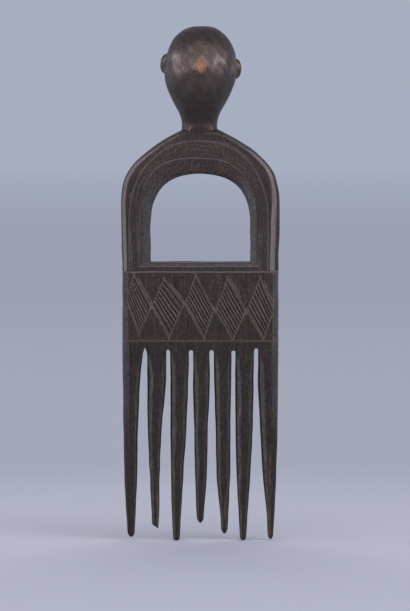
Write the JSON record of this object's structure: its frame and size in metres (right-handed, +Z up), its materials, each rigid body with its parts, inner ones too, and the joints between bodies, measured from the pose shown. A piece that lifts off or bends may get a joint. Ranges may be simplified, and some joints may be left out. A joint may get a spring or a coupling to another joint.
{
  "type": "anthropomorphic comb",
  "caption": "Upright hair comb carved in dark hardwood: long tapering teeth, a panel of hatched lozenges, an arched finger window and a small carved head as finial.",
  "frame": {"origin": "under the middle of the comb, level with the tips of its longest teeth", "axes": "+Z up the comb from the tips to the crown of the head, +Y through the plate towards the side of the face, -Y the side of the back of the head, X across the teeth"},
  "size_m": [0.0614, 0.0274, 0.2],
  "materials": {
    "polished_hardwood": "dark brown hardwood with a handled satin polish",
    "carved_hardwood": "dark brown hardwood, knife cut, with an old dull patina",
    "blackened_hardwood": "near black hardwood, knife cut, with the gloss of hair oil"
  },
  "bodies": {
    "root": {"head": "polished_hardwood", "left_ear": "polished_hardwood", "right_ear": "polished_hardwood", "neck": "polished_hardwood", "arch": "carved_hardwood", "left_stile": "carved_hardwood", "right_stile": "carved_hardwood", "panel": "carved_hardwood", "tooth_1": "blackened_hardwood", "tooth_2": "blackened_hardwood", "tooth_3": "blackened_hardwood", "tooth_4": "blackened_hardwood", "tooth_5": "blackened_hardwood", "tooth_6": "blackened_hardwood", "tooth_7": "blackened_hardwood"}
  },
  "joints": []
}
